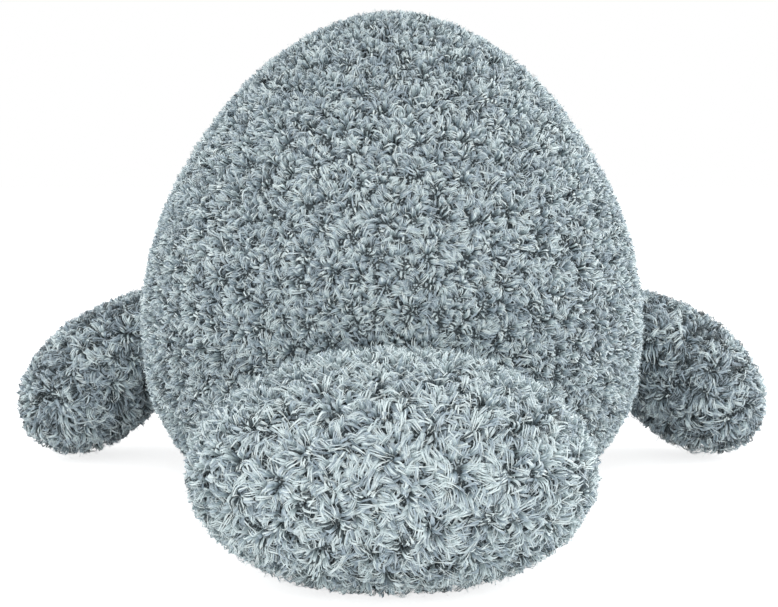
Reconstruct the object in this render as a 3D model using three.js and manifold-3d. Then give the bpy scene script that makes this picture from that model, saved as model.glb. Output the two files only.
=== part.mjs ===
// A stuffed manatee of curly plush cloth, lying on its belly.
// Millimetres, +Z up, +Y towards the head, +X to the toy's right.
// The origin is on the floor, on the flat under the belly, straight below the top of the back.

import * as THREE from "three";
import { mergeVertices } from "three/addons/utils/BufferGeometryUtils.js";
import Module from "manifold-3d";

const wasm = await Module();
wasm.setup();

// Cloth and sewing
const CLOTH_THICKNESS = 6;
const THREAD_DIAMETER = 1.2;
const CLEARANCE = 0.3;
const SEAM_GAP = THREAD_DIAMETER + 2 * CLEARANCE;

// Torso: a dome with a broad base
const TORSO_HALF_WIDTH = 109;
const TORSO_FRONT = 150;
const TORSO_REAR = 102;
const TORSO_HEIGHT = 207;
const TORSO_WAIST_HEIGHT = 72;
const TORSO_BASE_SINK = 14;
const TORSO_CROWN_POWER = 1.75;
const TORSO_CROWN_POINT = 0.55;
const TORSO_BASE_POWER = 2.8;
const SIDE_SEAM_HEIGHT = 55;
const SIDE_SEAM_OPENING_DEGREES = 2;

// Head: a ball half sunk into the front of the torso
const HEAD_REACH = 46;
const HEAD_CENTRE_HEIGHT = 88;
const HEAD_HALF_WIDTH = 76;
const HEAD_HALF_LENGTH = 74;
const HEAD_HALF_HEIGHT = 70;
const HEAD_POWER = 2.2;

// Muzzle: a broad low pad on the front of the head
const MUZZLE_REACH = 27;
const MUZZLE_DROP = 30;
const MUZZLE_HALF_WIDTH = 57;
const MUZZLE_HALF_LENGTH = 44;
const MUZZLE_HALF_HEIGHT = 42;
const MUZZLE_POWER = 2.5;

// Eyes: a domed button on a stem, held by a washer behind the cloth
const EYE_DIAMETER = 13;
const EYE_DOME_HEIGHT = 5.5;
const EYE_EDGE_HEIGHT = 1;
const EYE_STEM_DIAMETER = 4.4;
const EYE_STEM_LENGTH = 13;
const EYE_ASIDE_DEGREES = 50;
const EYE_ABOVE_DEGREES = 20;
const WASHER_DIAMETER = 14;
const WASHER_THICKNESS = 1.6;
const EYE_SINK = 1.2;
const PINCHED_CLOTH = 3.6;

// Embroidery on the muzzle
const NOSTRIL_LENGTH = 11;
const NOSTRIL_WIDTH = 7;
const NOSTRIL_HEIGHT = 1.6;
const NOSTRIL_ASIDE_DEGREES = 17;
const NOSTRIL_ABOVE_DEGREES = 30;
const MOUTH_THREAD_DIAMETER = 2.2;
const MOUTH_ASIDE_DEGREES = 42;
const MOUTH_BELOW_DEGREES = 22;
const MOUTH_RISE_DEGREES = 12;

// Tail: a pillow, pinched where it is sewn on
const TAIL_LENGTH = 98;
const TAIL_ROOT_HEIGHT = 43;
const TAIL_PITCH_DEGREES = 7;
const TAIL_HALF_WIDTH = 68;
const TAIL_ROOT_HALF_WIDTH = 38;
const TAIL_WIDEST_AT = 54;
const TAIL_HALF_THICKNESS = 37;
const TAIL_THICKEST_AT = 50;
const TAIL_ROOF_POWER = 1.7;
const TAIL_TIP_POWER = 2.3;
const TAIL_ROOT_WRAP = 0.75;
const TAIL_ROOT_RADIUS = 12;

// Flippers: smaller pillows, hung from the side of the torso with their tips on the floor
const FLIPPER_STATION_Y = 56;
const FLIPPER_ROOT_HEIGHT = 73;
const FLIPPER_LENGTH = 92;
const FLIPPER_DROOP_DEGREES = 45;
const FLIPPER_SWEEP = 16;
const FLIPPER_HALF_WIDTH = 32;
const FLIPPER_ROOT_HALF_WIDTH = 22;
const FLIPPER_WIDEST_AT = 58;
const FLIPPER_HALF_THICKNESS = 27;
const FLIPPER_THICKEST_AT = 54;
const FLIPPER_ROOF_POWER = 2;
const FLIPPER_TIP_POWER = 2.5;
const FLIPPER_ROOT_RADIUS = 8;

// Both kinds of limb
const LIMB_SEAM_ALLOWANCE = 12;
const LIMB_FLOOR_GAP = 0.5;
const LIMB_STUFFING_EDGE = 1;

// Fineness of the facets
const TORSO_SIDES = 36;
const TORSO_CROWN_RINGS = 9;
const TORSO_BASE_RINGS = 4;
const HEAD_SIDES = 20;
const HEAD_RINGS = 12;
const MUZZLE_SIDES = 20;
const MUZZLE_RINGS = 8;
const NOSTRIL_SIDES = 12;
const NOSTRIL_RINGS = 6;
const LIMB_SIDES = 20;
const LIMB_RINGS = 10;
const THREAD_SIDES = 4;
const BACK_SEAM_STEPS = 30;
const SIDE_SEAM_STEPS = 40;
const HEAD_SEAM_STEPS = 16;
const MOUTH_STEPS = 18;
const LIMB_SEAM_STEPS = 24;
const EYE_SIDES = 12;
const EYE_DOME_RINGS = 5;

// Bounds for the cutting: a reach past the whole toy, and a distance that counts as the same point
const FAR = 1000;
const SAME_POINT = 1e-4;

// Materials
const paint = (color, roughness) => new THREE.MeshStandardMaterial({ color, roughness, metalness: 0 });
const plush = () => paint(0x8f9ea3, 0.95);
const filling = () => paint(0xf1efe9, 1);
const seamThread = () => paint(0x77858b, 0.8);
const embroidery = () => paint(0x3d464b, 0.7);
const eyePlastic = () => paint(0x0d0d0f, 0.15);
const washerPlastic = () => paint(0xe9e9e6, 0.5);

const radians = THREE.MathUtils.degToRad;
const point = (x, y, z) => new THREE.Vector3(x, y, z);

// Solids: from a geometry to a solid that can be cut, and back
function weld(geometry) {
  const bare = new THREE.BufferGeometry();
  bare.setAttribute("position", geometry.getAttribute("position").clone());
  if (geometry.index) bare.setIndex(geometry.index.clone());
  return mergeVertices(bare, SAME_POINT);
}

function solid(geometry) {
  const welded = weld(geometry);
  return new wasm.Manifold(new wasm.Mesh({
    numProp: 3,
    vertProperties: new Float32Array(welded.getAttribute("position").array),
    triVerts: new Uint32Array(welded.index.array),
  }));
}

function geometryOf(body) {
  const mesh = body.getMesh();
  const geometry = new THREE.BufferGeometry();
  geometry.setAttribute("position", new THREE.BufferAttribute(mesh.vertProperties, 3));
  geometry.setIndex(new THREE.BufferAttribute(mesh.triVerts, 1));
  geometry.computeVertexNormals();
  return geometry;
}

// A closed skin over rings of points, with one point at each end.
function skinOver(first, rings, last) {
  const sides = rings[0].length;
  const points = [first, ...rings.flat(), last];
  const index = [];
  const at = (ring, side) => 1 + ring * sides + (side % sides);
  for (let side = 0; side < sides; side++) {
    index.push(0, at(0, side + 1), at(0, side));
    for (let ring = 0; ring + 1 < rings.length; ring++) {
      index.push(at(ring, side), at(ring, side + 1), at(ring + 1, side + 1));
      index.push(at(ring, side), at(ring + 1, side + 1), at(ring + 1, side));
    }
    index.push(at(rings.length - 1, side), at(rings.length - 1, side + 1), points.length - 1);
  }
  const geometry = new THREE.BufferGeometry().setFromPoints(points);
  geometry.setIndex(index);
  return geometry;
}

// Everything on one side of a plane across an axis.
function halfSpace(axis, from, sign) {
  const box = new THREE.BoxGeometry(2 * FAR, 2 * FAR, 2 * FAR);
  const shift = point(0, 0, 0);
  shift[axis] = from + sign * FAR;
  return box.translate(shift.x, shift.y, shift.z);
}
const above = (axis, from) => solid(halfSpace(axis, from, 1));
const below = (axis, from) => solid(halfSpace(axis, from, -1));

// A round thread along a path.
function threadAlong(points, diameter, steps) {
  const section = new THREE.Shape();
  for (let side = 0; side < THREAD_SIDES; side++) {
    const turn = (2 * Math.PI * side) / THREAD_SIDES;
    const corner = [(diameter / 2) * Math.cos(turn), (diameter / 2) * Math.sin(turn)];
    if (side === 0) section.moveTo(...corner);
    else section.lineTo(...corner);
  }
  section.closePath();
  const extrudePath = new THREE.CatmullRomCurve3(points);
  return weld(new THREE.ExtrudeGeometry(section, { steps, extrudePath }));
}

function node(parent, name, geometry, material) {
  const mesh = new THREE.Mesh(geometry, material);
  mesh.name = name;
  parent.add(mesh);
}

// Torso
// How wide the torso is at a height, as a share of its widest, for a skin drawn in by an inset.
function torsoShare(z, inset) {
  if (z >= TORSO_WAIST_HEIGHT) {
    const rise = (z - TORSO_WAIST_HEIGHT) / (TORSO_HEIGHT - inset - TORSO_WAIST_HEIGHT);
    return Math.max(0, 1 - rise ** TORSO_CROWN_POWER) ** TORSO_CROWN_POINT;
  }
  const drop = (TORSO_WAIST_HEIGHT - z) / (TORSO_WAIST_HEIGHT + TORSO_BASE_SINK);
  return Math.sqrt(1 - drop ** TORSO_BASE_POWER);
}

// The height at which the crown has narrowed to a share of the widest.
function crownHeight(share, inset) {
  const rise = Math.max(0, 1 - share ** (1 / TORSO_CROWN_POINT)) ** (1 / TORSO_CROWN_POWER);
  return TORSO_WAIST_HEIGHT + rise * (TORSO_HEIGHT - inset - TORSO_WAIST_HEIGHT);
}

function torsoReach(forward, inset) {
  return (forward ? TORSO_FRONT : TORSO_REAR) - inset;
}

function torsoRing(z, share, inset) {
  const ring = [];
  for (let side = 0; side < TORSO_SIDES; side++) {
    const turn = (2 * Math.PI * side) / TORSO_SIDES;
    const reach = torsoReach(Math.sin(turn) > 0, inset);
    const across = TORSO_HALF_WIDTH - inset;
    ring.push(point(across * share * Math.cos(turn), reach * share * Math.sin(turn), z));
  }
  return ring;
}

function torsoForm(inset) {
  const rings = [];
  for (let k = 0; k < TORSO_BASE_RINGS; k++) {
    const z = inset + ((TORSO_WAIST_HEIGHT - inset) * k ** 2) / TORSO_BASE_RINGS ** 2;
    rings.push(torsoRing(z, torsoShare(z, inset), inset));
  }
  for (let k = 0; k < TORSO_CROWN_RINGS; k++) {
    const share = Math.cos(((Math.PI / 2) * k) / TORSO_CROWN_RINGS);
    rings.push(torsoRing(crownHeight(share, inset), share, inset));
  }
  return skinOver(point(0, 0, inset), rings, point(0, 0, TORSO_HEIGHT - inset));
}

// The point of the torso's side at a station and a height, on the +X side.
function torsoSide(y, z) {
  const share = torsoShare(z, 0);
  const along = y / (torsoReach(y > 0, 0) * share);
  return point(TORSO_HALF_WIDTH * share * Math.sqrt(1 - along ** 2), y, z);
}

// The torso's middle profile at half the cloth's depth, rear to front over the top.
function backSeamPath() {
  const depth = CLOTH_THICKNESS / 2;
  const start = SIDE_SEAM_HEIGHT + SEAM_GAP / 2 + THREAD_DIAMETER;
  const end = (side) => {
    const share = torsoShare(start, depth);
    return point(0, side * torsoReach(side > 0, depth) * share, start);
  };
  const arc = [];
  const stops = 2 * TORSO_CROWN_RINGS;
  for (let k = 0; k <= stops; k++) {
    const share = Math.cos((Math.PI * k) / stops);
    const z = crownHeight(Math.abs(share), depth);
    arc.push(point(0, -torsoReach(share < 0, depth) * share, z));
  }
  return [end(-1), ...arc, end(1)];
}

// The ring at half the cloth's depth at the side seam's height, left open by a stitch at the rear.
function sideSeamPath() {
  const depth = CLOTH_THICKNESS / 2;
  const share = torsoShare(SIDE_SEAM_HEIGHT, depth);
  const stops = TORSO_SIDES;
  const opening = radians(SIDE_SEAM_OPENING_DEGREES);
  const path = [];
  for (let k = 0; k <= stops; k++) {
    const turn = -Math.PI / 2 + opening + ((2 * Math.PI - 2 * opening) * k) / stops;
    const reach = torsoReach(Math.sin(turn) > 0, depth);
    const x = (TORSO_HALF_WIDTH - depth) * share * Math.cos(turn);
    path.push(point(x, reach * share * Math.sin(turn), SIDE_SEAM_HEIGHT));
  }
  return path;
}

const manatee = new THREE.Group();
manatee.name = "plush_manatee";

const torsoOuter = solid(torsoForm(0));
const torsoKeepOut = solid(torsoForm(-CLEARANCE));

{
  const cloth = torsoOuter.subtract(solid(torsoForm(CLOTH_THICKNESS)));
  const back = cloth.intersect(above("z", SIDE_SEAM_HEIGHT + SEAM_GAP / 2));
  const belly = cloth.intersect(below("z", SIDE_SEAM_HEIGHT - SEAM_GAP / 2));
  node(manatee, "torso_left_panel", geometryOf(back.intersect(below("x", -SEAM_GAP / 2))), plush());
  node(manatee, "torso_right_panel", geometryOf(back.intersect(above("x", SEAM_GAP / 2))), plush());
  node(manatee, "belly_panel", geometryOf(belly), plush());
  node(manatee, "torso_stuffing", weld(torsoForm(CLOTH_THICKNESS + CLEARANCE)), filling());
  const backSeam = threadAlong(backSeamPath(), THREAD_DIAMETER, BACK_SEAM_STEPS);
  const sideSeam = threadAlong(sideSeamPath(), THREAD_DIAMETER, SIDE_SEAM_STEPS);
  node(manatee, "back_seam_thread", backSeam, seamThread());
  node(manatee, "side_seam_thread", sideSeam, seamThread());
}

// Head and muzzle are balls, round at a power of 2 and squarer above it, drawn in by an inset.
function squared(way, power) {
  const sum = Math.abs(way.x) ** power + Math.abs(way.y) ** power + Math.abs(way.z) ** power;
  return way.multiplyScalar(sum ** (-1 / power));
}

function ball(shape, inset) {
  const geometry = new THREE.SphereGeometry(1, shape.sides, shape.rings);
  const positions = geometry.getAttribute("position");
  for (let k = 0; k < positions.count; k++) {
    const { x, y, z } = squared(new THREE.Vector3().fromBufferAttribute(positions, k), shape.power);
    positions.setXYZ(k, x, y, z);
  }
  geometry.scale(shape.halves.x - inset, shape.halves.y - inset, shape.halves.z - inset);
  return solid(geometry.translate(shape.centre.x, shape.centre.y, shape.centre.z));
}

// A place on a ball, aside from straight ahead and above level, with the direction out of it there.
function ballPlace(shape, asideDegrees, aboveDegrees, lift) {
  const aside = radians(asideDegrees);
  const up = radians(aboveDegrees);
  const straight = point(Math.cos(up) * Math.sin(aside), Math.cos(up) * Math.cos(aside), Math.sin(up));
  const way = squared(straight, shape.power);
  const steep = (part) => Math.sign(part) * Math.abs(part) ** (shape.power - 1);
  const out = point(steep(way.x), steep(way.y), steep(way.z)).divide(shape.halves).normalize();
  const place = way.multiply(shape.halves).add(shape.centre).addScaledVector(out, lift);
  return { place, out };
}

const head = {
  centre: point(0, TORSO_FRONT + HEAD_REACH - HEAD_HALF_LENGTH, HEAD_CENTRE_HEIGHT),
  halves: point(HEAD_HALF_WIDTH, HEAD_HALF_LENGTH, HEAD_HALF_HEIGHT),
  power: HEAD_POWER,
  sides: HEAD_SIDES,
  rings: HEAD_RINGS,
};
const muzzle = {
  centre: point(
    0,
    TORSO_FRONT + HEAD_REACH + MUZZLE_REACH - MUZZLE_HALF_LENGTH,
    HEAD_CENTRE_HEIGHT - MUZZLE_DROP,
  ),
  halves: point(MUZZLE_HALF_WIDTH, MUZZLE_HALF_LENGTH, MUZZLE_HALF_HEIGHT),
  power: MUZZLE_POWER,
  sides: MUZZLE_SIDES,
  rings: MUZZLE_RINGS,
};

// Eyes
function eyeFrame(side) {
  const { place, out } = ballPlace(head, side * EYE_ASIDE_DEGREES, EYE_ABOVE_DEGREES, 0);
  const frame = new THREE.Group();
  frame.position.copy(place);
  frame.quaternion.setFromUnitVectors(point(0, 0, 1), out);
  frame.updateMatrix();
  return frame;
}

function lathe(profile) {
  const points = profile.map(([radius, z]) => new THREE.Vector2(radius, z));
  return weld(new THREE.LatheGeometry(points, EYE_SIDES).rotateX(Math.PI / 2));
}

function eyeGeometry() {
  const stem = EYE_STEM_DIAMETER / 2;
  const rim = CLEARANCE - EYE_SINK;
  const foot = rim - EYE_STEM_LENGTH;
  const profile = [[0, foot], [stem, foot], [stem, rim], [EYE_DIAMETER / 2, rim]];
  for (let k = 0; k <= EYE_DOME_RINGS; k++) {
    const turn = ((Math.PI / 2) * k) / EYE_DOME_RINGS;
    const radius = k === EYE_DOME_RINGS ? 0 : (EYE_DIAMETER / 2) * Math.cos(turn);
    profile.push([radius, rim + EYE_EDGE_HEIGHT + (EYE_DOME_HEIGHT - EYE_EDGE_HEIGHT) * Math.sin(turn)]);
  }
  return lathe(profile);
}

function washerGeometry() {
  const bore = EYE_STEM_DIAMETER / 2 + CLEARANCE;
  const top = -EYE_SINK - PINCHED_CLOTH - CLEARANCE;
  const foot = top - WASHER_THICKNESS;
  const rim = WASHER_DIAMETER / 2;
  return lathe([[bore, foot], [rim, foot], [rim, top], [bore, top], [bore, foot]]);
}

// A round plug that clears a passage through the cloth or a pocket in the stuffing.
function plug(frame, radius, from, to) {
  const cylinder = new THREE.CylinderGeometry(radius, radius, to - from, EYE_SIDES).rotateX(Math.PI / 2);
  cylinder.translate(0, 0, (from + to) / 2);
  return solid(cylinder.applyMatrix4(frame.matrix));
}

const eyeFrames = { left: eyeFrame(-1), right: eyeFrame(1) };

// Head
{
  let cloth = ball(head, 0).subtract(ball(head, CLOTH_THICKNESS)).subtract(torsoKeepOut);
  let stuffing = ball(head, CLOTH_THICKNESS + CLEARANCE).subtract(torsoKeepOut);
  for (const [side, frame] of Object.entries(eyeFrames)) {
    const passage = EYE_STEM_DIAMETER / 2 + CLEARANCE;
    const rim = EYE_DIAMETER / 2 + CLEARANCE;
    const pocket = WASHER_DIAMETER / 2 + CLEARANCE;
    const depth = EYE_SINK + EYE_STEM_LENGTH;
    cloth = cloth.subtract(plug(frame, passage, -depth, EYE_DOME_HEIGHT));
    cloth = cloth.subtract(plug(frame, rim, -EYE_SINK, EYE_DOME_HEIGHT));
    cloth = cloth.subtract(plug(frame, pocket, -depth, -EYE_SINK - PINCHED_CLOTH));
    stuffing = stuffing.subtract(plug(frame, pocket, -depth, EYE_DOME_HEIGHT));
    frame.name = `eye_frame_${side}`;
    node(frame, `eye_${side}`, eyeGeometry(), eyePlastic());
    node(frame, `eye_washer_${side}`, washerGeometry(), washerPlastic());
    manatee.add(frame);
  }
  node(manatee, "head_left_panel", geometryOf(cloth.intersect(below("x", -SEAM_GAP / 2))), plush());
  node(manatee, "head_right_panel", geometryOf(cloth.intersect(above("x", SEAM_GAP / 2))), plush());
  node(manatee, "head_stuffing", geometryOf(stuffing), filling());
}

// The head's middle seam, from the torso over the brow and down under the chin to the torso again.
function headSeamPath() {
  const depth = CLOTH_THICKNESS / 2;
  const clear = CLEARANCE + THREAD_DIAMETER;
  const onSeam = (turn) => {
    const way = squared(point(0, Math.cos(turn), Math.sin(turn)), HEAD_POWER);
    return way.multiply(head.halves.clone().subScalar(depth)).add(head.centre);
  };
  const outside = (p) => p.y > clear + TORSO_FRONT * torsoShare(p.z, 0);
  const reachFrom = (sign) => {
    const step = sign * radians(1);
    let turn = 0;
    while (Math.abs(turn) < Math.PI && outside(onSeam(turn + step))) turn += step;
    return turn;
  };
  const top = reachFrom(1);
  const bottom = reachFrom(-1);
  const stops = HEAD_SEAM_STEPS;
  return Array.from({ length: stops + 1 }, (_, k) => onSeam(top + ((bottom - top) * k) / stops));
}
const headSeam = threadAlong(headSeamPath(), THREAD_DIAMETER, HEAD_SEAM_STEPS);
node(manatee, "head_seam_thread", headSeam, seamThread());

// Muzzle
{
  const headKeepOut = ball(head, -CLEARANCE).add(torsoKeepOut);
  const cloth = ball(muzzle, 0).subtract(ball(muzzle, CLOTH_THICKNESS)).subtract(headKeepOut);
  const stuffing = ball(muzzle, CLOTH_THICKNESS + CLEARANCE).subtract(headKeepOut);
  node(manatee, "muzzle_panel", geometryOf(cloth), plush());
  node(manatee, "muzzle_stuffing", geometryOf(stuffing), filling());
}

// Nostrils: raised ovals of satin stitch
function nostril(side) {
  const aside = side * NOSTRIL_ASIDE_DEGREES;
  const { place, out } = ballPlace(muzzle, aside, NOSTRIL_ABOVE_DEGREES, 0);
  const oval = new THREE.SphereGeometry(1, NOSTRIL_SIDES, NOSTRIL_RINGS);
  oval.scale(NOSTRIL_WIDTH / 2, NOSTRIL_LENGTH / 2, NOSTRIL_HEIGHT + CLEARANCE);
  oval.applyQuaternion(new THREE.Quaternion().setFromUnitVectors(point(0, 0, 1), out));
  oval.translate(place.x, place.y, place.z);
  return geometryOf(solid(oval).subtract(ball(muzzle, -CLEARANCE)));
}
node(manatee, "nostril_left", nostril(-1), embroidery());
node(manatee, "nostril_right", nostril(1), embroidery());

// Mouth: one thick thread, turned up at both ends
function mouthPath() {
  const lift = MOUTH_THREAD_DIAMETER / 2 + CLEARANCE;
  const path = [];
  for (let k = 0; k <= MOUTH_STEPS; k++) {
    const along = (2 * k) / MOUTH_STEPS - 1;
    const rise = MOUTH_RISE_DEGREES * along ** 2 - MOUTH_BELOW_DEGREES;
    path.push(ballPlace(muzzle, MOUTH_ASIDE_DEGREES * along, rise, lift).place);
  }
  return path;
}
const mouth = threadAlong(mouthPath(), MOUTH_THREAD_DIAMETER, MOUTH_STEPS);
node(manatee, "mouth_stitch", mouth, embroidery());

// Limbs: pillows in a frame of their own, with the hinge line along X through the origin,
// the length along +Y and the thickness along Z.
// How far the root is drawn back at a distance from the middle, to follow the round torso.
function limbWrap(limb, along, x) {
  return limb.rootWrap * (1 - along / limb.length) ** 2 * (x / limb.rootHalfWidth) ** 2;
}

// A half size that grows smoothly from its value at the root to its most.
function swell(along, root, most, mostAt) {
  return root + (most - root) * Math.sin((Math.PI / 2) * Math.min(1, Math.max(0, along / mostAt)));
}

// A factor that falls from 1 to 0 along a rounded end.
function roundEnd(along, from, to, power) {
  const share = Math.max(0, (along - from) / (to - from));
  return Math.max(0, 1 - share ** power) ** (1 / power);
}

// Half of the limb's width and thickness, at a distance from the root's edge.
function limbSection(limb, along, inset) {
  const start = inset > 0 ? LIMB_SEAM_ALLOWANCE + inset : 0;
  const end = limb.length - inset;
  const edge = inset > 0 ? LIMB_STUFFING_EDGE : limb.rootRadius;
  const hinge = start + edge;
  const rootRound = roundEnd(hinge - along, 0, edge, 2);
  const width = swell(along, limb.rootHalfWidth - inset, limb.halfWidth - inset, limb.widestAt);
  const thickness = swell(along - hinge, edge, limb.halfThickness - inset, limb.thickestAt - hinge);
  return {
    width: width * roundEnd(along, limb.widestAt, end, limb.tipPower),
    thickness: thickness * rootRound * roundEnd(along, limb.thickestAt, end, limb.tipPower),
  };
}

function limbMiddle(limb, along) {
  const share = along / limb.length;
  return point(limb.sweep * share ** 2, along - limb.rootRadius, 0);
}

function limbForm(limb, inset) {
  const start = inset > 0 ? LIMB_SEAM_ALLOWANCE + inset : 0;
  const end = limb.length - inset;
  const rings = [];
  for (let k = 1; k < LIMB_RINGS; k++) {
    const along = start + ((end - start) * (1 - Math.cos((Math.PI * k) / LIMB_RINGS))) / 2;
    const { width, thickness } = limbSection(limb, along, inset);
    const middle = limbMiddle(limb, along);
    const ring = [];
    for (let side = 0; side < LIMB_SIDES; side++) {
      const turn = (2 * Math.PI * side) / LIMB_SIDES;
      const x = width * Math.cos(turn);
      const bulge = Math.sin(turn) > 0 ? Math.sin(turn) ** (2 / limb.roofPower) : Math.sin(turn);
      ring.push(point(middle.x - x, middle.y - limbWrap(limb, along, x), middle.z + thickness * bulge));
    }
    rings.push(ring);
  }
  return skinOver(limbMiddle(limb, start), rings, limbMiddle(limb, end));
}

// The seam round a limb's edge, at half the cloth's depth, from the root round the tip to the root.
function limbSeamPath(limb) {
  const depth = CLOTH_THICKNESS / 2;
  const end = limb.length - depth;
  const start = LIMB_SEAM_ALLOWANCE;
  const stops = LIMB_SEAM_STEPS / 2;
  const half = [];
  for (let k = 0; k <= stops; k++) {
    const along = start + (end - start) * Math.sin(((Math.PI / 2) * k) / stops);
    const width = (limbSection(limb, along, 0).width / limb.halfWidth) * (limb.halfWidth - depth);
    half.push({ along, width: k === stops ? 0 : width });
  }
  const place = ({ along, width }, side) => {
    const middle = limbMiddle(limb, along);
    return point(middle.x + side * width, middle.y - limbWrap(limb, along, width), middle.z);
  };
  const tip = half.pop();
  return [...half.map((p) => place(p, -1)), place(tip, 0), ...half.reverse().map((p) => place(p, 1))];
}

// A limb's two panels, its stuffing and its edge seam, flattened where the limb lies on the floor.
function addLimb(name, limb, frame) {
  frame.name = name;
  frame.updateMatrix();
  const toLimb = frame.matrix.clone().invert();
  const overFloor = (gap) => solid(halfSpace("z", LIMB_FLOOR_GAP + gap, 1).applyMatrix4(toLimb));
  const outer = solid(limbForm(limb, 0)).intersect(overFloor(0));
  const hollow = solid(limbForm(limb, CLOTH_THICKNESS)).intersect(overFloor(CLOTH_THICKNESS));
  const filled = solid(limbForm(limb, CLOTH_THICKNESS + CLEARANCE));
  const stuffing = filled.intersect(overFloor(CLOTH_THICKNESS + CLEARANCE));
  const cloth = outer.subtract(hollow);
  node(frame, `${name}_upper_panel`, geometryOf(cloth.intersect(above("z", SEAM_GAP / 2))), plush());
  node(frame, `${name}_under_panel`, geometryOf(cloth.intersect(below("z", -SEAM_GAP / 2))), plush());
  node(frame, `${name}_stuffing`, geometryOf(stuffing), filling());
  const seam = threadAlong(limbSeamPath(limb), THREAD_DIAMETER, LIMB_SEAM_STEPS);
  node(frame, `${name}_seam_thread`, seam, seamThread());
  manatee.add(frame);
}

// Tail
{
  const share = torsoShare(TAIL_ROOT_HEIGHT, 0);
  const aside = TAIL_ROOT_HALF_WIDTH / (TORSO_HALF_WIDTH * share);
  const wrap = TORSO_REAR * share * (1 - Math.sqrt(1 - aside ** 2)) * TAIL_ROOT_WRAP;
  const frame = new THREE.Group();
  frame.position.set(0, -TORSO_REAR * share - CLEARANCE - TAIL_ROOT_RADIUS, TAIL_ROOT_HEIGHT);
  frame.rotation.set(-radians(TAIL_PITCH_DEGREES), 0, Math.PI, "ZXY");
  addLimb("tail", {
    length: TAIL_LENGTH,
    halfWidth: TAIL_HALF_WIDTH,
    rootHalfWidth: TAIL_ROOT_HALF_WIDTH,
    widestAt: TAIL_WIDEST_AT,
    halfThickness: TAIL_HALF_THICKNESS,
    thickestAt: TAIL_THICKEST_AT,
    roofPower: TAIL_ROOF_POWER,
    tipPower: TAIL_TIP_POWER,
    rootRadius: TAIL_ROOT_RADIUS,
    rootWrap: wrap,
    sweep: 0,
  }, frame);
}

// Flippers
for (const [name, side] of [["flipper_left", -1], ["flipper_right", 1]]) {
  const seat = torsoSide(FLIPPER_STATION_Y, FLIPPER_ROOT_HEIGHT);
  const out = point((side * seat.x) / TORSO_HALF_WIDTH ** 2, seat.y / TORSO_FRONT ** 2, 0).normalize();
  const droop = radians(FLIPPER_DROOP_DEGREES);
  const along = out.clone().multiplyScalar(Math.cos(droop)).setZ(-Math.sin(droop));
  const chord = point(out.y, -out.x, 0);
  const normal = new THREE.Vector3().crossVectors(chord, along);
  const frame = new THREE.Group();
  frame.position.set(side * seat.x, seat.y, seat.z).addScaledVector(out, FLIPPER_ROOT_RADIUS + CLEARANCE);
  frame.quaternion.setFromRotationMatrix(new THREE.Matrix4().makeBasis(chord, along, normal));
  addLimb(name, {
    length: FLIPPER_LENGTH,
    halfWidth: FLIPPER_HALF_WIDTH,
    rootHalfWidth: FLIPPER_ROOT_HALF_WIDTH,
    widestAt: FLIPPER_WIDEST_AT,
    halfThickness: FLIPPER_HALF_THICKNESS,
    thickestAt: FLIPPER_THICKEST_AT,
    roofPower: FLIPPER_ROOF_POWER,
    tipPower: FLIPPER_TIP_POWER,
    rootRadius: FLIPPER_ROOT_RADIUS,
    rootWrap: 0,
    sweep: side * FLIPPER_SWEEP,
  }, frame);
}

export default manatee;
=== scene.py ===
"""Looks of a stuffed manatee in curly plush: soft skins, fur, a face and a plain studio."""

import math
from types import SimpleNamespace

import bmesh
import bpy
import numpy as np
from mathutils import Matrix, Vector, noise
from mathutils.bvhtree import BVHTree
from mathutils.kdtree import KDTree


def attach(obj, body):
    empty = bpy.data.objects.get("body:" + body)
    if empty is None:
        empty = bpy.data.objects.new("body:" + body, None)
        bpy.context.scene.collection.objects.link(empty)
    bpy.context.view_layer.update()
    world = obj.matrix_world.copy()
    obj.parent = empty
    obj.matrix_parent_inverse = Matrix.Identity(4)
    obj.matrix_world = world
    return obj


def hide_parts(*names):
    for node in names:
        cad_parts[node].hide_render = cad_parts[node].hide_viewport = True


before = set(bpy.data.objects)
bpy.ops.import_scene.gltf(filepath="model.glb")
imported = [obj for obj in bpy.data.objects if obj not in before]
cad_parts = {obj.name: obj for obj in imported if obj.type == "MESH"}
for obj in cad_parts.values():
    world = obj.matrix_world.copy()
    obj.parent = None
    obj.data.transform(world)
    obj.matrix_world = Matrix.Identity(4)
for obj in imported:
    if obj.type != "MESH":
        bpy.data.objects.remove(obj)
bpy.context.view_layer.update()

# A millimetre in metres, what counts as no length and as one point, and the seed of all that is random
MM = 0.001
TINY = 1e-12
WELD = 0.001 * MM
POINT_DECIMALS = 6
SEED = 8135

# The photograph's camera: 778 by 607 pixels, from behind the toy and a little above it
PHOTO_WIDTH = 778
FOCAL_PIXELS = 1500
CENTRE_SHIFT_PIXELS = 3
CAMERA_PLACE = (0, -670 * MM, 147 * MM)
CAMERA_DOWN_DEGREES = 5.65
SENSOR_WIDTH = 36
CLIP_START = 10 * MM

# Studio: each lamp's place and size in metres and its watts, a white world, and a white floor
LAMPS = {
    "overhead": ((0, -0.1, 1.4), 1.4, 3),
    "front": ((0, -1.2, 0.12), 0.8, 4),
    "left": ((-1.1, 0.35, 0.45), 0.9, 5),
    "right": ((1.1, 0.35, 0.45), 0.9, 9.5),
}
LAMP_AIM = (0, 0, 80 * MM)
WHITE = (1, 1, 1, 1)
WORLD_FILL = 0.9
FLOOR_SIZE = 12
FLOOR_BOUNCE = 0.92
FLOOR_SHADED = 0.5
FLOOR_GLOW = 0.78

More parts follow.
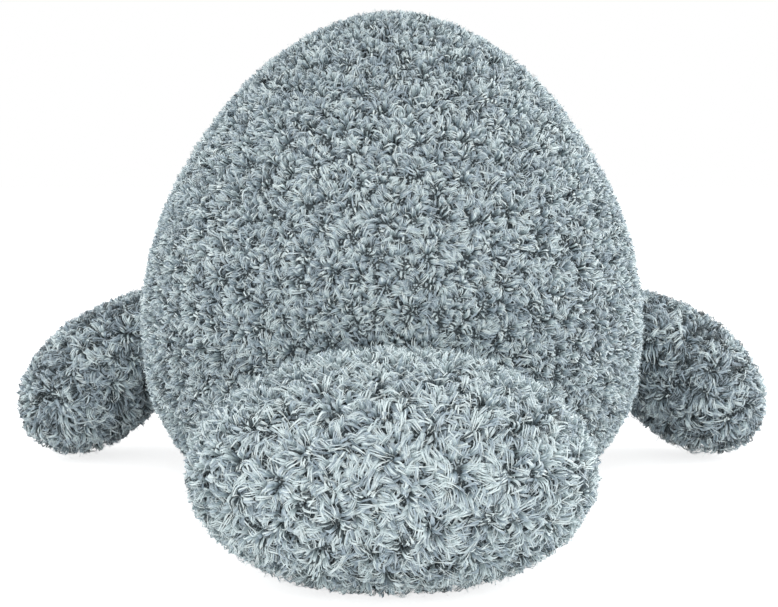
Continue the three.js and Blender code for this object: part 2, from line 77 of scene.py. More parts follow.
# Colours: ramps of places and colours, and a dark and a pale colour for threads and plastics
FIBRE_ALONG = [
    (0.0, (0.160, 0.205, 0.225)),
    (0.18, (0.345, 0.425, 0.450)),
    (0.36, (0.575, 0.680, 0.715)),
    (0.65, (0.735, 0.828, 0.856)),
    (1.0, (0.830, 0.900, 0.900)),
]
FIBRE_TINT = [
    (0.0, (0.035, 0.045, 0.045)),
    (0.05, (0.26, 0.29, 0.31)),
    (0.18, (0.42, 0.455, 0.50)),
    (0.42, (0.66, 0.70, 0.76)),
    (0.70, (0.97, 0.975, 0.96)),
    (1.0, (1.05, 1.05, 1.03)),
]
FIBRE_STREAKS = [(0.3, (0.74, 0.75, 0.76)), (0.7, (1.16, 1.16, 1.15))]
GROUND_PATCHES = [(0.3, (0.270, 0.335, 0.365)), (0.7, (0.550, 0.635, 0.660))]
# The speckle's dark slits are painted shade between fibre ends, partly their dark roots
GROUND_ENDS_AND_SLIT_SHADE = [(0.2, (1.5, 1.5, 1.5)), (0.55, (0.15, 0.16, 0.165))]
# The threads' dark colours are painted shade in the grooves between their plies
SEAM_COLORS = ((0.10, 0.13, 0.15), (0.26, 0.32, 0.35))
EMBROIDERY_COLORS = ((0.012, 0.013, 0.016), (0.045, 0.048, 0.055))
EYE_COLORS = ((0.006, 0.006, 0.008), (0.016, 0.015, 0.016))
WASHER_COLORS = ((0.70, 0.70, 0.68), (0.80, 0.80, 0.78))

# Patterns: how fine each is, where threads and plastics are dark and pale, the threads' dark being
# painted shade between plies, and the least and most rough
STREAK_SCALE = (260, 5, 1)
PATCH_SCALE = 160
ENDS_SCALE = 1000
PLY_SCALE = 900
CLOUD_SCALE = 420
THREAD_GROOVE_SHADE_STOPS = (0.2, 0.8)
PLASTIC_STOPS = (0.35, 0.65)
EYE_ROUGH = (0.06, 0.14)
WASHER_ROUGH = (0.4, 0.55)

# Skins: cloth round the frame's pieces, filled out under pressure and a little lumpy
SKIN_VOXEL = 5 * MM
SKIN_SLACK = 3 * MM
SKIN_LUMP = 1 * MM
SKIN_LUMP_LENGTH = 45 * MM
SKIN_FLOOR_GAP = 1.9 * MM
CLOTH_PRESSURE = 4
CLOTH_FRAMES = 20

# Locks: how close they stand, with more of them on the crowns, and fewer underneath
LOCK_SPACING = 2.6 * MM
CROWN_SPACING = 1.9 * MM
CROWN_LYING = 0.5
SPACING_PACKED = 0.82
OVERSAMPLE = 6
SEWN_DEPTH = 1 * MM
PRESSED_SLOPE = -0.9
PRESSED_LOSS = 0.5

# Rosettes: locks lie outwards from a middle, the crown, with a drift, a swirl and a lean of their own
CROWN_INNER = 0.12
CROWN_OUTER = 0.62
CROWN_LEAN = 1.2
ROSETTE_DRIFT = 0.25
ROSETTE_SWIRL = 0.8
WANDER = 3 * MM
WANDER_LENGTH = 7 * MM
COMB_SCATTER = 0.25
CURVE_PROBE = 6 * MM

# Strands: a lock is a row of them over some under strands, and the last in the row may stray upwards
LOCK_STRANDS = 8
LOCK_HALF_WIDTH = 1.2 * MM
ROW_SCATTER = 0.1
STRAND_STEPS = 4
STRAND_WIDTH = 0.4 * MM
STRAND_WIDTHS = (0.75, 1.25)
STRAND_REACH = 7 * MM
LOCK_REACHES = (0.75, 1.2)
STRAND_REACHES = (0.7, 1.15)
SIDE_SHORTER = 0.25
STRAND_HEIGHT = 4.6 * MM
LOCK_HEIGHTS = (0.8, 1.1)
STRAND_HEIGHTS = (0.9, 1.08)
SIDE_LOWER = 0.3
LOCK_DROPS = (0.45, 0.9)
STRAND_DROP = 0.1
LOCK_TURN = 0.15
STRAND_TURN = 0.1
LOCK_CURL = 1.3
STRAND_CURL = 0.25
CURL_FROM = 0.3
STRAND_ROLL = 0.5
SAG_FROM = 0.4
SAG_POWER = 1.5
FLOOR_GAP = 0.4 * MM

# Strands on a crown, under the others, and straying
CROWN_REACH = 0.55
CROWN_HEIGHT = 0.75
CROWN_WIDTH = 1.7
CROWN_DROP = 0.3
CROWN_TURN = 0.25
UNDER_STRANDS = 2
UNDER_TURN = 1.2
UNDER_HEIGHT = 0.5
UNDER_WIDTH = 2.3
STRAY_REACH = 0.5
STRAY_HEIGHTS = (1.1, 1.4)
STRAY_DROP = 0.1
STRAY_WIDTH = 0.45

# Tint: from 0, black, to 1, frosted; by patches, locks and strands, and in stripes of painted shade on
# a crown
TINT_MIDDLE = 0.55
PATCH_LENGTH = 6 * MM
PATCH_DEPTH = 0.55
LOCK_DEPTH = 0.16
STRAND_DEPTH = 0.34
# A crown is darker, with dark and pale stripes: painted shade of the slits between its upright strands,
# partly their dark roots
CROWN_PAINTED_SHADE = 0.19
CROWN_DEPTH = 0.6
CROWN_STRIPE = 2
# Under strands take a darker tint, painted shade beneath the strands over them
UNDER_PAINTED_SHADE = 0.34
# Strays take a pale tint, a painted glow of light shining through the fuzz at the outline
STRAY_PAINTED_GLOW = 0.9
TINT_BAND = 1 / 48

# A strand from root to tip: how far it has gone, risen, dropped, spread and thinned
EVEN_GOING = 0.15
GOING_POWER = 1.5
TOP_AT = 0.5
DROP_FROM = 0.4
DROP_POWER = 1.7
SPREAD_LEAST = 0.5
SPREAD_FROM = 0.1
SPREAD_RANGE = 0.85
THICK_PLACES = (0, 0.4, 0.8, 1)
THICK_SHARES = (0.8, 1, 0.8, 0.25)
SHARE = np.linspace(0, 1, STRAND_STEPS + 1)
GONE = EVEN_GOING * SHARE + (1 - EVEN_GOING) * SHARE ** GOING_POWER
RISEN = np.where(SHARE < TOP_AT, 1 - (1 - SHARE / TOP_AT) ** 2, 1)
DROPPED = np.clip((SHARE - DROP_FROM) / (1 - DROP_FROM), 0, 1) ** DROP_POWER
SPREAD = SPREAD_LEAST + (1 - SPREAD_LEAST) * np.sin(math.pi * (SPREAD_FROM + SPREAD_RANGE * SHARE))
THICKNESS = np.interp(SHARE, THICK_PLACES, THICK_SHARES)

# Most faces in one mesh of fur
MOST_QUADS = 95_000

# Face: eyes, satin-stitched nostrils and a corded mouth, with the fur cropped near them
EYE_DOME = 5.5 * MM
EYE_EDGE = 1 * MM
EYE_STEM = 2.2 * MM
EYE_BASE = 0.97
EYE_RINGS = 16
EYE_SIDES = 48
SATIN_THREADS = 15
SATIN_STEPS = 13
SATIN_SPAN = 0.94
SATIN_DIP = 2.4 * MM
SATIN_ARCH = 0.99
SATIN_SLANT = 0.18
SATIN_COVER = 1.15
MOUTH_STEPS = 160
MOUTH_SPAN = 0.985
MOUTH_POWERS = (0, 2, 4)
MOUTH_PLIES = 3
MOUTH_PLY = 0.75 * MM
MOUTH_TWIST = 6 * MM
MOUTH_CLEARING_STEP = 6
CORD_ROUNDNESS = 2
CLEARING_FADE = 9 * MM
CLEARING_LEAST = 0.35

# Kinds of pile: sink, rosette and sag in millimetres, and the rest beside the values above
PLAIN = {
    "sink": 0.3, "rosette": 9.5, "length": 0.75, "width": 0.9, "height": 1,
    "sag": 0, "stray": 0.9, "tone_and_painted_light": 0.05, "contrast": 1,
}
# The tail's higher tone is painted light, as though more light fell on it
TAIL = {
    "sink": -1.5, "rosette": 11.5, "length": 1.05, "width": 1, "height": 1.15,
    "sag": 1, "stray": 0.9, "tone_and_painted_light": 0.16, "contrast": 1.25,
}
# The flippers' lower tone is painted shade, as though they stood in shade
LIMB = {
    "sink": 0.5, "rosette": 11, "length": 1.1, "width": 1, "height": 1.15,
    "sag": 3, "stray": 0.9, "tone_and_painted_light": -0.13, "contrast": 1.75,
}

# Stuffed pieces: the body each rides on, how full it is, its pile and the nodes that it stands for
TORSO_NODES = ["torso_left_panel", "torso_right_panel", "belly_panel", "torso_stuffing"]
HEAD_NODES = ["head_left_panel", "head_right_panel", "head_stuffing"]
MUZZLE_NODES = ["muzzle_panel", "muzzle_stuffing"]
STUFFED = {
    "torso": {"body": "torso", "fill": 0.85, "look": PLAIN, "nodes": TORSO_NODES},
    "head": {"body": "torso", "fill": 0.85, "look": PLAIN, "nodes": HEAD_NODES},
    "muzzle": {"body": "torso", "fill": 0.85, "look": PLAIN, "nodes": MUZZLE_NODES},
}
LIMBS = {"tail": (0.8, TAIL), "flipper_left": (0.75, LIMB), "flipper_right": (0.75, LIMB)}
LIMB_NODES = ("upper_panel", "under_panel", "stuffing")
for name, (fill, look) in LIMBS.items():
    nodes = [f"{name}_{kind}" for kind in LIMB_NODES]
    STUFFED[name] = {"body": name, "fill": fill, "look": look, "nodes": nodes}


# Node helpers
def new_material(name):
    """A material, its nodes and its shader."""
    material = bpy.data.materials.new(name)
    material.use_nodes = True
    tree = material.node_tree
    return material, tree, tree.nodes["Principled BSDF"]


def tune(node, **values):
    """Sets a node's settings, and its inputs by name with spaces as underscores."""
    for name, value in values.items():
        if hasattr(node, name):
            setattr(node, name, value)
        else:
            node.inputs[name.replace("_", " ")].default_value = value


def add(tree, kind, **values):
    """A new node with some of its values set."""
    made = tree.nodes.new(kind)
    tune(made, **values)
    return made


def ramp(tree, stops):
    """A colour ramp through places and colours."""
    made = add(tree, "ShaderNodeValToRGB")
    elements = made.color_ramp.elements
    while len(elements) < len(stops):
        elements.new(0.5)
    for element, (place, color) in zip(elements, stops):
        element.position = place
        element.color = (*color, 1)
    return made


def multiplied(tree, first, second):
    """The product of two colour outputs."""
    made = add(tree, "ShaderNodeMix", data_type="RGBA", blend_type="MULTIPLY", Factor=1)
    tree.links.new(first, made.inputs["A"])
    tree.links.new(second, made.inputs["B"])
    return made.outputs["Result"]


# Materials
def fibre_material():
    """Strands: dark roots to frosted tips, with a tint and streaks that differ between them; the tint
    also carries painted light and shade.
    """
    material, tree, shader = new_material("plush_fibre")
    link = tree.links.new
    place = add(tree, "ShaderNodeUVMap", uv_map="OFBake")
    parts = add(tree, "ShaderNodeSeparateXYZ")
    link(place.outputs["UV"], parts.inputs[0])
    along = ramp(tree, FIBRE_ALONG)
    link(parts.outputs["Y"], along.inputs["Fac"])
    tint = ramp(tree, FIBRE_TINT)
    link(parts.outputs["X"], tint.inputs["Fac"])
    stretch = add(tree, "ShaderNodeMapping", Scale=STREAK_SCALE)
    link(place.outputs["UV"], stretch.inputs["Vector"])
    streak = add(tree, "ShaderNodeTexNoise", noise_dimensions="2D", Scale=1, Detail=2)
    link(stretch.outputs["Vector"], streak.inputs["Vector"])
    shade = ramp(tree, FIBRE_STREAKS)
    link(streak.outputs["Fac"], shade.inputs["Fac"])
    tinted = multiplied(tree, along.outputs["Color"], tint.outputs["Color"])
    link(multiplied(tree, tinted, shade.outputs["Color"]), shader.inputs["Base Color"])
    tune(shader, Roughness=0.62, Specular_IOR_Level=0.3, Sheen_Weight=0.15)
    return material


def backing_material():
    """The ground that the pile stands in: slate, speckled with pale ends of short fibres, with painted
    shade in the slits between them, partly their dark roots.
    """
    material, tree, shader = new_material("plush_ground")
    link = tree.links.new
    place = add(tree, "ShaderNodeTexCoord")
    patches = add(tree, "ShaderNodeTexNoise", Scale=PATCH_SCALE, Detail=4)
    link(place.outputs["Object"], patches.inputs["Vector"])
    color = ramp(tree, GROUND_PATCHES)
    link(patches.outputs["Fac"], color.inputs["Fac"])
    ends = add(tree, "ShaderNodeTexVoronoi", Scale=ENDS_SCALE)
    link(place.outputs["Object"], ends.inputs["Vector"])
    # Dark slits between the ends: painted shade, partly dark roots
    slit_shade = ramp(tree, GROUND_ENDS_AND_SLIT_SHADE)
    link(ends.outputs["Distance"], slit_shade.inputs["Fac"])
    link(multiplied(tree, color.outputs["Color"], slit_shade.outputs["Color"]), shader.inputs["Base Color"])
    bump = add(tree, "ShaderNodeBump", Strength=0.5, Distance=0.6 * MM)
    link(ends.outputs["Distance"], bump.inputs["Height"])
    link(bump.outputs["Normal"], shader.inputs["Normal"])
    tune(shader, Roughness=0.95)
    return material


def thread_material(name, colors):
    """Sewing or embroidery thread: fine plies that wind round it, darker where they dip, as painted
    shade in the grooves.
    """
    material, tree, shader = new_material(name)
    link = tree.links.new
    place = add(tree, "ShaderNodeTexCoord")
    plies = add(tree, "ShaderNodeTexWave", bands_direction="DIAGONAL")
    tune(plies, Scale=PLY_SCALE, Distortion=2, Detail=2)
    link(place.outputs["Object"], plies.inputs["Vector"])
    # Dark in the grooves between plies: painted shade
    color = ramp(tree, list(zip(THREAD_GROOVE_SHADE_STOPS, colors)))
    link(plies.outputs["Fac"], color.inputs["Fac"])
    link(color.outputs["Color"], shader.inputs["Base Color"])
    bump = add(tree, "ShaderNodeBump", Strength=0.6, Distance=0.2 * MM)
    link(plies.outputs["Fac"], bump.inputs["Height"])
    link(bump.outputs["Normal"], shader.inputs["Normal"])
    tune(shader, Roughness=0.6)
    return material


def plastic_material(name, colors, roughs):
    """Moulded plastic: slightly uneven in colour and in shine."""
    material, tree, shader = new_material(name)
    link = tree.links.new
    place = add(tree, "ShaderNodeTexCoord")
    cloud = add(tree, "ShaderNodeTexNoise", Scale=CLOUD_SCALE, Detail=5)
    link(place.outputs["Object"], cloud.inputs["Vector"])
    color = ramp(tree, list(zip(PLASTIC_STOPS, colors)))
    link(cloud.outputs["Fac"], color.inputs["Fac"])
    link(color.outputs["Color"], shader.inputs["Base Color"])
    smooth, rough = roughs
    shine = add(tree, "ShaderNodeMapRange", To_Min=smooth, To_Max=rough)
    link(cloud.outputs["Fac"], shine.inputs["Value"])
    link(shine.outputs["Result"], shader.inputs["Roughness"])
    return material


# Skins
def read(collection, name):
    """A vector of every element, such as its place, as the rows of an array."""
    values = np.empty(len(collection) * 3, np.float64)
    collection.foreach_get(name, values)
    return values.reshape(-1, 3)


def place_points(piece, places):
    """Moves the points of a piece to new places."""
    piece.data.vertices.foreach_set("co", places.ravel())
    piece.data.update()


def push(piece, distance):
    """Moves every point of a piece along its normal."""
    vertices = piece.data.vertices
    move = read(vertices, "normal") * np.reshape(distance, (-1, 1))
    place_points(piece, read(vertices, "co") + move)


def settle(piece):
    """Applies the piece's modifiers."""
    evaluated = piece.evaluated_get(bpy.context.evaluated_depsgraph_get())
    mesh = bpy.data.meshes.new_from_object(evaluated)
    piece.modifiers.clear()
    old = piece.data
    piece.data = mesh
    bpy.data.meshes.remove(old)


def hull_of(name, nodes):
    """A closed skin round the frame's nodes, remeshed evenly."""
    shell = bmesh.new()
    for node in nodes:
        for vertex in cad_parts[node].data.vertices:
            shell.verts.new(vertex.co)
    bmesh.ops.convex_hull(shell, input=shell.verts)
    spare = [vertex for vertex in shell.verts if not vertex.link_faces]
    bmesh.ops.delete(shell, geom=spare, context="VERTS")
    mesh = bpy.data.meshes.new(name)
    shell.to_mesh(mesh)
    shell.free()
    skin = bpy.data.objects.new(name, mesh)
    bpy.context.scene.collection.objects.link(skin)
    remesh = skin.modifiers.new("even", "REMESH")
    remesh.mode = "VOXEL"
    remesh.voxel_size = SKIN_VOXEL
    settle(skin)
    return skin


def fill_out(piece):
    """Blows the cloth out under pressure, no further than its slack."""
    before = read(piece.data.vertices, "co")
    cloth = piece.modifiers.new("filling", "CLOTH")
    cloth.settings.use_pressure = True
    cloth.settings.uniform_pressure_force = CLOTH_PRESSURE
    cloth.settings.effector_weights.gravity = 0
    cloth.collision_settings.use_collision = False
    for number in range(1, CLOTH_FRAMES + 1):
        bpy.context.scene.frame_set(number)
    evaluated = piece.evaluated_get(bpy.context.evaluated_depsgraph_get())
    move = read(evaluated.data.vertices, "co") - before
    length = np.linalg.norm(move, axis=1, keepdims=True)
    move *= np.minimum(1, SKIN_SLACK / np.maximum(length, TINY))
    piece.modifiers.clear()
    place_points(piece, before + move)
    bpy.context.scene.frame_set(1)


def make_skin(name, body, fill, look, nodes):
    """The filled cloth of a stuffed piece, on average its pile's sink below the frame's surface."""
    skin = hull_of(name, nodes)
    outer = read(skin.data.vertices, "co")
    outward = read(skin.data.vertices, "normal")
    push(skin, -SKIN_SLACK)
    fill_out(skin)
    shift = ((read(skin.data.vertices, "co") - outer) * outward).sum(1)
    push(skin, -look["sink"] * MM - shift.mean())
    places = read(skin.data.vertices, "co")
    lumps = np.array([noise.noise(Vector(place) / SKIN_LUMP_LENGTH) for place in places])
    push(skin, lumps * SKIN_LUMP)
    places = read(skin.data.vertices, "co")
    places[:, 2] = np.maximum(places[:, 2], SKIN_FLOOR_GAP)
    place_points(skin, places)
    divide = skin.modifiers.new("smooth", "SUBSURF")
    divide.levels = divide.render_levels = 1
    settle(skin)
    skin.data.materials.append(backing)
    skin.data.shade_smooth()
    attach(skin, body)
    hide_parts(*nodes)
    return skin


# Fur: where locks stand and how they are combed
def unit(vectors):
    """Vectors made one long."""
    return vectors / np.maximum(np.linalg.norm(vectors, axis=-1, keepdims=True), TINY)


def tree_of(spots):
    """A search tree of points."""
    tree = KDTree(len(spots))
    for k, spot in enumerate(spots):
        tree.insert(spot, k)
    tree.balance()
    return tree


def surface_of(skin):
    """A search tree of a skin's faces."""
    mesh = skin.data
    return BVHTree.FromPolygons([v.co for v in mesh.vertices], [p.vertices for p in mesh.polygons])


def scatter(skin, spacing, rng):
    """Points spread evenly over a skin, with the normal at each."""
    mesh = skin.data
    mesh.calc_loop_triangles()
    corners = np.empty(len(mesh.loop_triangles) * 3, np.int32)
    mesh.loop_triangles.foreach_get("vertices", corners)
    corners = corners.reshape(-1, 3)
    places = read(mesh.vertices, "co")
    normals = read(mesh.vertices, "normal")

    # Many random spots, shared out by the areas of the faces
    a, b, c = (places[corners[:, k]] for k in range(3))
    areas = np.linalg.norm(np.cross(b - a, c - a), axis=1) / 2
    count = int(OVERSAMPLE * areas.sum() / spacing ** 2)
    face = rng.choice(len(corners), count, p=areas / areas.sum())
    cuts = np.sort(rng.random((count, 2)), axis=1)
    weights = np.stack([cuts[:, 0], cuts[:, 1] - cuts[:, 0], 1 - cuts[:, 1]], 1)[:, :, None]
    spots = (places[corners[face]] * weights).sum(1)
    outs = unit((normals[corners[face]] * weights).sum(1))

    # Each spot that is kept rules out those near it
    tree = tree_of(spots)
    free = np.ones(count, bool)
    kept = []
    for k in range(count):
        if free[k]:
            kept.append(k)
            for _, other, _ in tree.find_range(spots[k], spacing * SPACING_PACKED):
                free[other] = False
    return spots[kept], outs[kept]


def inside(surface, spot, depth):
    """Whether a spot lies under a closed skin by more than a depth."""
    place, out, _, _ = surface.find_nearest(spot)
    return (Vector(spot) - place).dot(out) < -depth


def clear_of(spots, balls):
    """How far each spot lies outside the nearest of some balls."""
    gaps = [np.linalg.norm(spots - place, axis=1) - radius for place, radius in balls]
    return np.min(gaps, axis=0)


def lock_places(skin, spacing, sewn_on, rng):
    """Where locks stand on a skin, outside the skins sewn to it, and the way out there."""
    spots, outs = scatter(skin, spacing, rng)
    open_air = [not any(inside(surface, spot, SEWN_DEPTH) for surface in sewn_on) for spot in spots]
    spots, outs = spots[open_air], outs[open_air]
    pressed = outs[:, 2] < PRESSED_SLOPE
    keep = rng.random(len(spots)) > np.where(pressed, PRESSED_LOSS, 0)
    keep &= clear_of(spots, clearings) > 0
    return spots[keep], outs[keep]


def rosettes(skin, spacing, rng):
    """Rosettes spread over a skin: their middles, and a drift, a swirl and a lean for each."""
    middles, _ = scatter(skin, spacing, rng)
    drifts = rng.normal(size=middles.shape) * ROSETTE_DRIFT
    swirls = rng.uniform(-ROSETTE_SWIRL, ROSETTE_SWIRL, len(middles))
    leans = unit(rng.normal(size=middles.shape))
    return SimpleNamespace(
        tree=tree_of(middles), middles=middles, drifts=drifts, swirls=swirls, leans=leans,
        radius=spacing / 2)


def comb(laid, spots, outs, rng):
    """The way each lock falls, out from the nearest rosette's middle, and how far it lies down."""
    moved = spots + WANDER * np.array([noise.noise_vector(Vector(p) / WANDER_LENGTH) for p in spots])
    nearest = np.array([laid.tree.find(p)[1] for p in moved])
    away = (moved - laid.middles[nearest]) / laid.radius + laid.drifts[nearest]
    away -= outs * (away * outs).sum(1, keepdims=True)
    distance = np.linalg.norm(away, axis=1)
    swirl = laid.swirls[nearest, None]
    lying = np.clip((distance - CROWN_INNER) / (CROWN_OUTER - CROWN_INNER), 0, 1)
    lean = CROWN_LEAN * (1 - lying[:, None]) * laid.leans[nearest]
    way = unit(unit(away) + lean + COMB_SCATTER * rng.normal(size=spots.shape))
    way = way * np.cos(swirl) + np.cross(outs, way) * np.sin(swirl)
    ahead = unit(way - outs * (way * outs).sum(1, keepdims=True))
    return ahead, lying


def falling_away(surface, spots, outs, ways):
    """How much a skin drops from its tangent plane along each way, by the square of the distance."""
    bend = np.zeros(len(spots))
    for k, (spot, out, way) in enumerate(zip(spots, outs, ways)):
        place = surface.find_nearest(spot + CURVE_PROBE * way)[0]
        bend[k] = np.dot(np.array(place) - spot, out) / CURVE_PROBE ** 2
    return bend


# Fur: strands
def draw_strands(spots, lying, look, rng):
    """How each strand of each lock grows: its place in the row, angles, lengths, tint and width."""
    locks = len(spots)
    lying = lying[:, None]
    standing = 1 - lying

    def each(low, high):
        """A value for every strand."""
        return rng.uniform(low, high, (locks, LOCK_STRANDS))

    def lock(low, high):
        """A value for every lock."""
        return rng.uniform(low, high, (locks, 1))

    def crowned(share):
        """A share on a crown that grows to the whole where locks lie down."""
        return share + (1 - share) * lying

    # Which strands are under the others, and which stray
    number = np.arange(LOCK_STRANDS)
    under = np.broadcast_to(number < UNDER_STRANDS, (locks, LOCK_STRANDS))
    stray = (number == LOCK_STRANDS - 1) & (lock(0, 1) < look["stray"] * lying)

    # Places in the row, from -1 to 1, and angles
    row = (number - UNDER_STRANDS + 0.5) / (LOCK_STRANDS - UNDER_STRANDS) * 2 - 1
    place = np.where(under, each(-1, 1), row + each(-ROW_SCATTER, ROW_SCATTER))
    heading = lock(-LOCK_TURN, LOCK_TURN) + each(-STRAND_TURN, STRAND_TURN)
    heading = heading + standing * each(-CROWN_TURN, CROWN_TURN)
    heading = np.where(under, heading + each(-UNDER_TURN, UNDER_TURN), heading)
    heading = np.where(stray, each(-math.pi, math.pi), heading)
    curl = lock(-LOCK_CURL, LOCK_CURL) + each(-STRAND_CURL, STRAND_CURL)

    # Lengths, cropped near the face
    cropped = np.clip(clear_of(spots, clearings) / CLEARING_FADE, CLEARING_LEAST, 1)[:, None]
    reach = STRAND_REACH * look["length"] * lock(*LOCK_REACHES) * each(*STRAND_REACHES)
    reach = reach * crowned(CROWN_REACH) * (1 - SIDE_SHORTER * place ** 2) * cropped
    reach = np.where(stray, reach * STRAY_REACH, reach)
    height = STRAND_HEIGHT * look["height"] * lock(*LOCK_HEIGHTS) * each(*STRAND_HEIGHTS)
    height = height * (1 - SIDE_LOWER * lying * place ** 2) * cropped * crowned(CROWN_HEIGHT)
    height = np.where(under, height * UNDER_HEIGHT, height)
    height = np.where(stray, height * each(*STRAY_HEIGHTS), height)
    drop = lock(*LOCK_DROPS) + each(-STRAND_DROP, STRAND_DROP)
    drop = np.where(stray, STRAY_DROP, drop * crowned(CROWN_DROP))

    # Tint, with painted shade on crowns and under strands, a painted glow on strays, and painted light
    # and shade in the pile's tone
    patch = np.array([noise.noise(Vector(spot) / PATCH_LENGTH) for spot in spots])[:, None]
    tint = TINT_MIDDLE + look["contrast"] * (PATCH_DEPTH * patch + lock(-LOCK_DEPTH, LOCK_DEPTH))
    # Dark and pale stripes on a crown, darker on the whole: painted shade of its slits, partly dark
    # roots
    shade_stripe = np.sign(lock(-1, 1)) * np.where(number // CROWN_STRIPE % 2, 1, -1)
    tint = tint + lying * STRAND_DEPTH * each(-1, 1)
    tint = tint + standing * (CROWN_DEPTH * shade_stripe - CROWN_PAINTED_SHADE)
    # Under strands are darker: painted shade
    tint = np.where(under, UNDER_PAINTED_SHADE + STRAND_DEPTH * each(-1, 1), tint)
    # Strays are pale: a painted glow at the outline
    tint = np.where(stray, STRAY_PAINTED_GLOW, tint)
    # The tone lifts or lowers a whole pile: painted light on the tail, painted shade on the flippers
    tint = np.clip(tint + look["tone_and_painted_light"], 0, 1 - TINT_BAND)

    # Widths, and how far each ribbon is rolled about its length
    width = STRAND_WIDTH * look["width"] * each(*STRAND_WIDTHS)
    width = width * (1 + (CROWN_WIDTH - 1) * standing)
    width = width * np.where(stray, STRAY_WIDTH, np.where(under, UNDER_WIDTH, 1))
    roll = each(-STRAND_ROLL, STRAND_ROLL)
    return SimpleNamespace(
        place=place, heading=heading, curl=curl, reach=reach, height=height, drop=drop,
        tint=tint, width=width, roll=roll)


def strand_paths(spots, outs, ahead, bend, look, grown):
    """The middle line of each strand, from its root over the top and down to its tip."""
    aside = np.cross(outs, ahead)
    forth = np.zeros_like(grown.place)
    sideways = np.zeros_like(grown.place)
    path = np.zeros((*grown.place.shape, len(SHARE), 3))
    steps = np.diff(GONE, prepend=0)
    for k, share in enumerate(SHARE):
        angle = grown.heading + grown.curl * (share - CURL_FROM)
        forth = forth + grown.reach * steps[k] * np.cos(angle)
        sideways = sideways + grown.reach * steps[k] * np.sin(angle)
        off = grown.place * LOCK_HALF_WIDTH * SPREAD[k]
        x = forth - off * np.sin(angle)
        y = sideways + off * np.cos(angle)
        z = grown.height * (RISEN[k] - grown.drop * DROPPED[k]) + bend[:, None] * (x ** 2 + y ** 2)
        for part, way in ((x, ahead), (y, aside), (z, outs)):
            path[..., k, :] += part[..., None] * way[:, None]
    path += spots[:, None, None]
    hanging = look["sag"] * MM * np.clip(SAG_FROM - outs[:, 2], 0, 1)
    path[..., 2] -= hanging[:, None, None] * SHARE ** SAG_POWER
    path[..., 2] = np.maximum(path[..., 2], FLOOR_GAP)
    return path


def ribbons(path, outs, grown):
    """Both edges of each strand, and their map: tint across, and root to tip along."""
    ahead = unit(np.gradient(path, axis=2))
    across = unit(np.cross(ahead, outs[:, None, None]))
    raised = np.cross(across, ahead)
    roll = grown.roll[..., None, None]
    across = across * np.cos(roll) + raised * np.sin(roll)
    half = across * (grown.width[..., None] * THICKNESS / 2)[..., None]
    edges = np.stack([path - half, path + half], axis=3)
    edges[..., 2] = np.maximum(edges[..., 2], FLOOR_GAP)
    maps = np.empty((*edges.shape[:-1], 2))
    maps[..., 0] = grown.tint[..., None, None] + np.array([0, TINT_BAND])
    maps[..., 1] = SHARE[:, None]
    return edges, maps


def strand_mesh(name, edges, maps, body):
    """One mesh of many ribbons, each a row of quads between its two edges."""
    count, per_strand, _ = edges.shape
    quad = np.array([0, 1, 3, 2])
    steps = 2 * np.arange(STRAND_STEPS)[:, None] + quad
    corners = (np.arange(count)[:, None, None] * per_strand + steps).reshape(-1, 4)
    mesh = bpy.data.meshes.new(name)
    mesh.vertices.add(count * per_strand)
    mesh.vertices.foreach_set("co", edges.ravel().astype(np.float32))
    mesh.loops.add(corners.size)
    mesh.loops.foreach_set("vertex_index", corners.ravel().astype(np.int32))
    mesh.polygons.add(len(corners))
    mesh.polygons.foreach_set("loop_start", np.arange(0, corners.size, 4, dtype=np.int32))
    mesh.update(calc_edges=True)
    layer = mesh.uv_layers.new(name="OFBake")
    layer.uv.foreach_set("vector", maps.reshape(-1, 2)[corners.ravel()].ravel().astype(np.float32))
    mesh.shade_smooth()
    mesh.materials.append(fibre)
    fur = bpy.data.objects.new(name, mesh)
    bpy.context.scene.collection.objects.link(fur)
    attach(fur, body)


def grow(name, skin, surface, sewn_on, body, look, rng):
    """Covers a skin with locks, in as many meshes as the count of faces needs."""
    laid = rosettes(skin, look["rosette"] * MM, rng)
    sets = []
    for spacing, most_lying in ((LOCK_SPACING, 1), (CROWN_SPACING, CROWN_LYING)):
        spots, outs = lock_places(skin, spacing, sewn_on, rng)
        ahead, lying = comb(laid, spots, outs, rng)
        kept = lying <= most_lying
        sets.append([values[kept] for values in (spots, outs, ahead, lying)])
    spots, outs, ahead, lying = (np.concatenate(values) for values in zip(*sets))

    # Sorted by quarters of the floor, so that a mesh holds locks that are near each other
    order = np.lexsort((spots[:, 1] > 0, spots[:, 0] > 0))
    spots, outs, ahead, lying = (values[order] for values in (spots, outs, ahead, lying))
    bend = falling_away(surface, spots, outs, ahead)
    grown = draw_strands(spots, lying, look, rng)
    edges, maps = ribbons(strand_paths(spots, outs, ahead, bend, look, grown), outs, grown)
    per_strand = 2 * len(SHARE)
    edges = edges.reshape(-1, per_strand, 3)
    maps = maps.reshape(-1, per_strand, 2)
    pieces = math.ceil(len(edges) * STRAND_STEPS / MOST_QUADS)
    for k, part in enumerate(np.array_split(np.arange(len(edges)), pieces)):
        label = name if pieces == 1 else f"{name}_{k + 1}"
        strand_mesh(label, edges[part], maps[part], body)


# Face
def points_of(node):
    """The places of a frame node's corners, each once."""
    return np.unique(np.round(read(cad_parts[node].data.vertices, "co"), POINT_DECIMALS), axis=0)


def stand_for(piece, node, material):
    """Puts a piece of the face in the place of a frame's node."""
    piece.data.materials.append(material)
    piece.data.shade_smooth()
    bpy.context.scene.collection.objects.link(piece)
    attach(piece, "torso")
    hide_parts(node)


